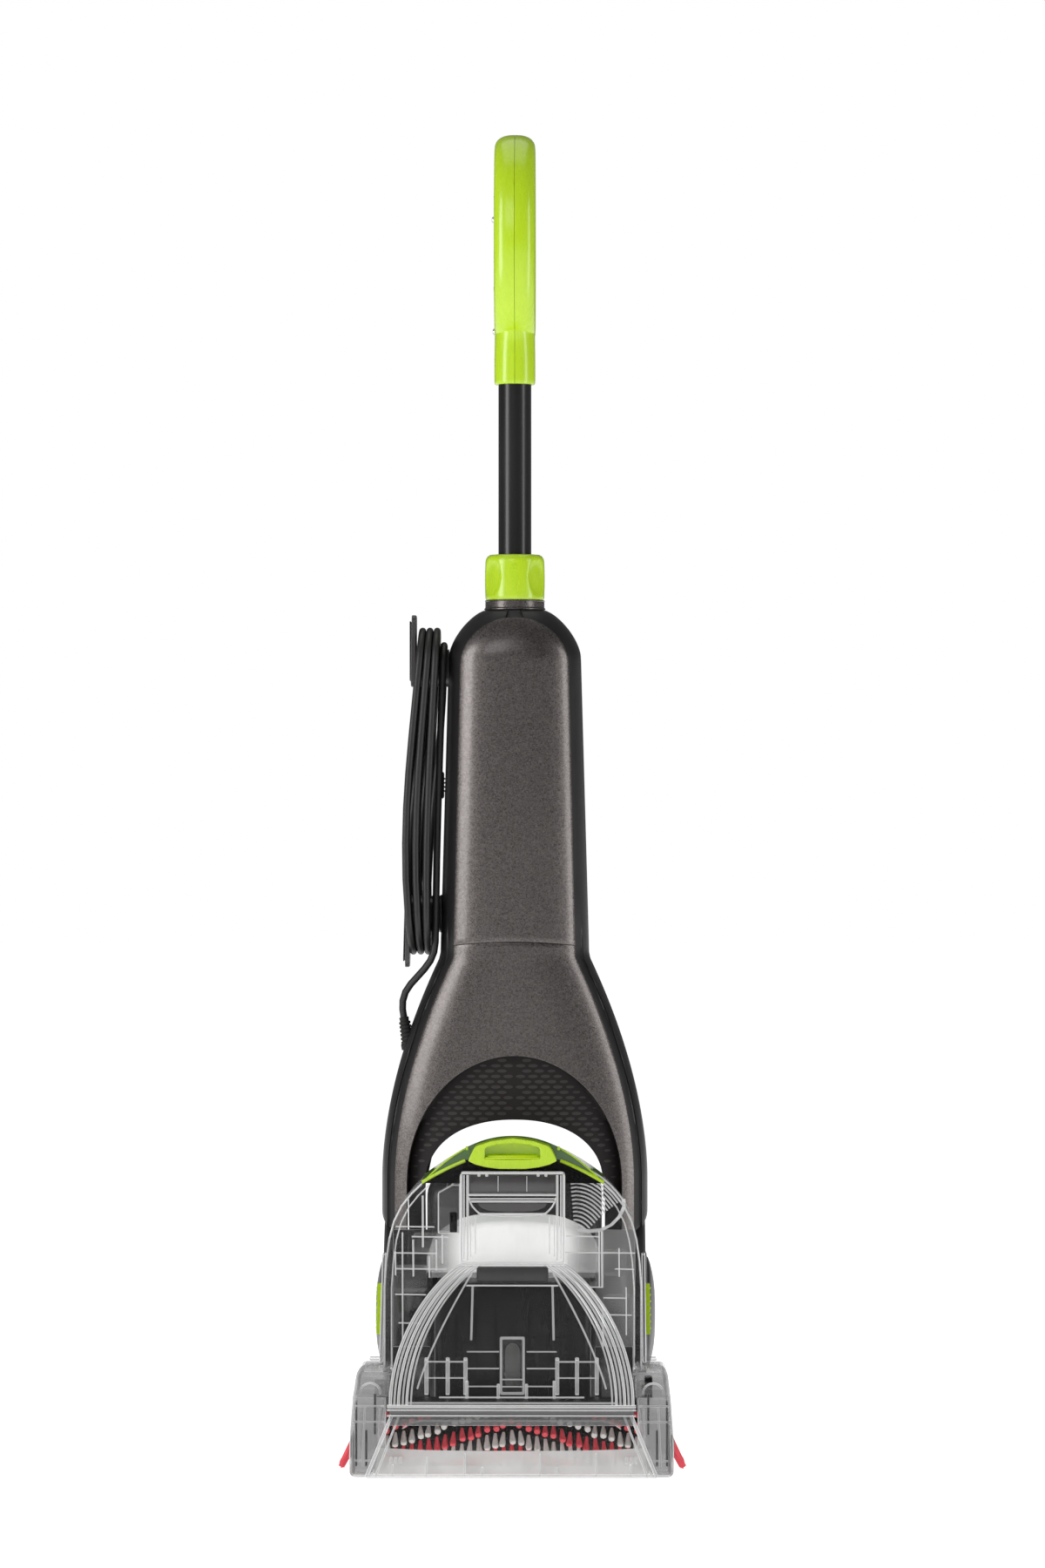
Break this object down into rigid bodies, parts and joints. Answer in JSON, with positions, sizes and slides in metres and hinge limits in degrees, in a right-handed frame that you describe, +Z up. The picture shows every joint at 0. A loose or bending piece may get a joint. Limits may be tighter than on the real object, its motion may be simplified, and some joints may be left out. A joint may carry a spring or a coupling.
{
  "type": "upright carpet cleaner",
  "caption": "Upright carpet cleaner with a powered brush under a clear nozzle, a lift-off clear tank, large rear wheels, a reclining column and a sliding loop handle.",
  "frame": {"origin": "on the floor, at the middle of the footprint", "axes": "+Z up, -Y the front of the machine, +X to the right of a viewer who faces the nozzle"},
  "size_m": [0.287, 0.412, 1.139],
  "materials": {
    "black_plastic": "fine moulded texture",
    "rubber": "matt",
    "cord_jacket": "satin PVC jacket",
    "green_plastic": "lime green, satin to gloss",
    "dark_green_plastic": "translucent dark green",
    "metallic_grey": "titanium grey with metallic flake",
    "clear_plastic": "clear polycarbonate",
    "frosted_plastic": "frosted white",
    "steel": "plain steel",
    "red_bristle": "nylon bristle",
    "grey_plastic": "grey moulding",
    "red_plastic": "red rocker"
  },
  "bodies": {
    "foot": {"base_chassis": "black_plastic", "front_glide": "grey_plastic", "squeegee": "rubber", "foot_cover": "black_plastic", "motor_housing": "black_plastic", "suction_motor": "steel", "brush_motor": "steel", "water_pump": "grey_plastic", "spray_tip": "grey_plastic", "spray_hose": "rubber", "drive_belt": "rubber", "axle": "steel", "nozzle_hood": "clear_plastic", "nozzle_bar": "grey_plastic", "suction_duct": "clear_plastic", "nozzle_arm_left": "clear_plastic", "nozzle_arm_right": "clear_plastic", "edge_bristles_left": "red_bristle", "edge_bristles_right": "red_bristle", "brush_bearing_left": "grey_plastic", "brush_bearing_right": "grey_plastic"},
    "brush": {"brush_core": "black_plastic", "brush_bristles": "red_bristle", "brush_pulley": "grey_plastic"},
    "motor_pulley": {"motor_pulley": "grey_plastic"},
    "fan": {"suction_fan": "grey_plastic"},
    "wheel_left": {"wheel_left": "rubber", "hub_cap_left": "black_plastic"},
    "wheel_right": {"wheel_right": "rubber", "hub_cap_right": "black_plastic"},
    "tank": {"tank_shell": "clear_plastic", "inner_chamber": "frosted_plastic", "chimney": "clear_plastic", "tank_lid": "dark_green_plastic", "finger_cup": "green_plastic", "air_separator": "clear_plastic"},
    "tank_latch": {"tank_latch": "green_plastic"},
    "nozzle_latch_left": {"nozzle_latch_left": "green_plastic"},
    "nozzle_latch_right": {"nozzle_latch_right": "green_plastic"},
    "recline_pedal": {"recline_pedal": "black_plastic"},
    "upright": {"rear_shell": "black_plastic", "lower_front_cover": "metallic_grey", "upper_front_cover": "metallic_grey", "arch_panel": "black_plastic", "neck_ring": "grey_plastic", "handle_guide": "grey_plastic", "pivot_arm_left": "black_plastic", "pivot_arm_right": "black_plastic", "lower_cord_hook": "black_plastic", "cord_gland": "rubber", "cord_lead": "cord_jacket", "cord_hank": "cord_jacket", "cord_plug": "cord_jacket"},
    "cord_release": {"upper_cord_hook": "black_plastic"},
    "collar": {"twist_collar": "green_plastic"},
    "handle": {"handle_tube": "black_plastic", "grip_left": "green_plastic", "grip_right": "green_plastic"},
    "trigger": {"trigger": "black_plastic"},
    "power_switch": {"power_switch": "red_plastic"}
  },
  "joints": [
    {"name": "recline", "type": "hinge", "parent": "foot", "child": "upright", "pos_m": [0, 0.099, 0.107], "axis": [-1, 0, 0], "range_deg": [0, 65]},
    {"name": "handle_slide", "type": "slide", "parent": "upright", "child": "handle", "axis": [0, 0, -1], "range_m": [0, 0.145]},
    {"name": "collar_twist", "type": "hinge", "parent": "upright", "child": "collar", "pos_m": [0, 0.04, 0.75], "axis": [0, 0, 1], "range_deg": [0, 90]},
    {"name": "trigger_pull", "type": "hinge", "parent": "handle", "child": "trigger", "pos_m": [0, 0.094, 1.072], "axis": [1, 0, 0], "range_deg": [0, 12], "stiffness_Nm_per_rad": 0.4, "springref_deg": -5.73},
    {"name": "cord_release_turn", "type": "hinge", "parent": "upright", "child": "cord_release", "pos_m": [-0.07, 0.04, 0.6735], "axis": [1, 0, 0], "range_deg": [0, 180]},
    {"name": "power_rocker", "type": "hinge", "parent": "upright", "child": "power_switch", "pos_m": [0, 0.083, 0.64], "axis": [1, 0, 0], "range_deg": [0, 10]},
    {"name": "brush_spin", "type": "hinge", "parent": "foot", "child": "brush", "pos_m": [0, -0.1555, 0.0305], "axis": [1, 0, 0], "continuous": true},
    {"name": "motor_spin", "type": "hinge", "parent": "foot", "child": "motor_pulley", "pos_m": [0, -0.095, 0.052], "axis": [1, 0, 0], "continuous": true},
    {"name": "fan_spin", "type": "hinge", "parent": "foot", "child": "fan", "pos_m": [0, 0.05, 0.16], "axis": [0, 0, 1], "continuous": true},
    {"name": "wheel_left_spin", "type": "hinge", "parent": "foot", "child": "wheel_left", "pos_m": [0, 0.099, 0.107], "axis": [1, 0, 0], "continuous": true},
    {"name": "wheel_right_spin", "type": "hinge", "parent": "foot", "child": "wheel_right", "pos_m": [0, 0.099, 0.107], "axis": [1, 0, 0], "continuous": true},
    {"name": "tank_lift", "type": "slide", "parent": "foot", "child": "tank", "axis": [0, 0, 1], "range_m": [0, 0.2]},
    {"name": "tank_latch_press", "type": "slide", "parent": "tank", "child": "tank_latch", "axis": [0, 1, 0], "range_m": [0, 0.004], "stiffness_N_per_m": 400, "springref_m": -0.002},
    {"name": "nozzle_latch_left_slide", "type": "slide", "parent": "foot", "child": "nozzle_latch_left", "axis": [0, 0, 1], "range_m": [0, 0.006], "stiffness_N_per_m": 300, "springref_m": -0.003},
    {"name": "nozzle_latch_right_slide", "type": "slide", "parent": "foot", "child": "nozzle_latch_right", "axis": [0, 0, 1], "range_m": [0, 0.006], "stiffness_N_per_m": 300, "springref_m": -0.003},
    {"name": "recline_pedal_press", "type": "hinge", "parent": "foot", "child": "recline_pedal", "pos_m": [0, 0.1775, 0.04], "axis": [-1, 0, 0], "range_deg": [0, 12], "stiffness_Nm_per_rad": 2, "springref_deg": -5.73}
  ],
  "couplings": [
    {"joint": "motor_spin", "follows": "brush_spin", "ratio": 1.4444}
  ]
}
